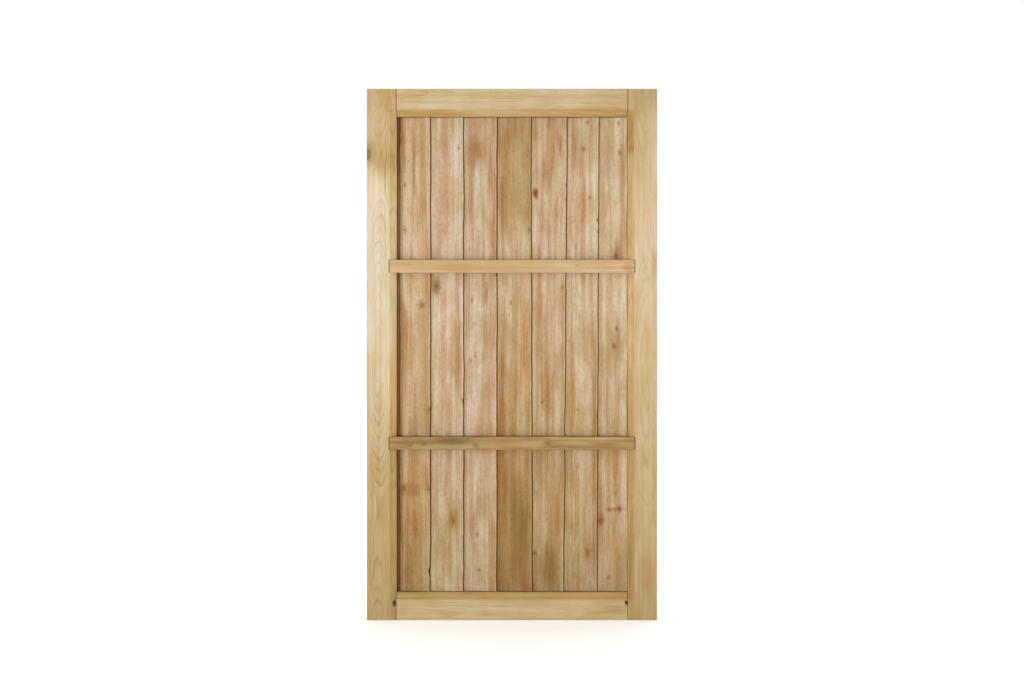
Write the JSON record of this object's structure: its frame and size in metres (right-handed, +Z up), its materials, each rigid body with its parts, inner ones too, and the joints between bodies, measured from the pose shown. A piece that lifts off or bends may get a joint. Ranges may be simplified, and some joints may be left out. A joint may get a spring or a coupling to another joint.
{
  "type": "garden gate leaf",
  "caption": "Flat-topped framed garden gate leaf: chamfered stiles and rails, horizontal ledges let in at the back, upright feather-edged boards between.",
  "frame": {"origin": "middle of the bottom edge: half way across the width and through the thickness", "axes": "+X across the leaf, +Y out of the boarded front face, -Y out of the ledged back face, +Z up"},
  "size_m": [1, 0.045, 1.83],
  "materials": {
    "left_stile": "planed, pressure treated softwood",
    "right_stile": "planed, pressure treated softwood",
    "top_rail": "planed, pressure treated softwood",
    "bottom_rail": "planed, pressure treated softwood",
    "upper_ledge": "planed, pressure treated softwood",
    "lower_ledge": "planed, pressure treated softwood",
    "board_1": "rough sawn, pressure treated softwood",
    "board_2": "rough sawn, pressure treated softwood",
    "board_3": "rough sawn, pressure treated softwood",
    "board_4": "rough sawn, pressure treated softwood",
    "board_5": "rough sawn, pressure treated softwood",
    "board_6": "rough sawn, pressure treated softwood",
    "board_7": "rough sawn, pressure treated softwood",
    "wedges": "end grain, unfinished",
    "dowels": "end grain, unfinished",
    "galvanised_nails": "dull galvanised"
  },
  "bodies": {
    "root": {"left_stile": "left_stile", "right_stile": "right_stile", "top_rail": "top_rail", "bottom_rail": "bottom_rail", "upper_ledge": "upper_ledge", "lower_ledge": "lower_ledge", "board_1": "board_1", "board_2": "board_2", "board_3": "board_3", "board_4": "board_4", "board_5": "board_5", "board_6": "board_6", "board_7": "board_7", "top_tenon_wedges": "wedges", "bottom_tenon_wedges": "wedges", "top_joint_dowels": "dowels", "bottom_joint_dowels": "dowels", "upper_ledge_nails": "galvanised_nails", "lower_ledge_nails": "galvanised_nails", "upper_board_nails": "galvanised_nails", "lower_board_nails": "galvanised_nails", "top_board_pins": "galvanised_nails", "bottom_board_pins": "galvanised_nails"}
  },
  "joints": []
}
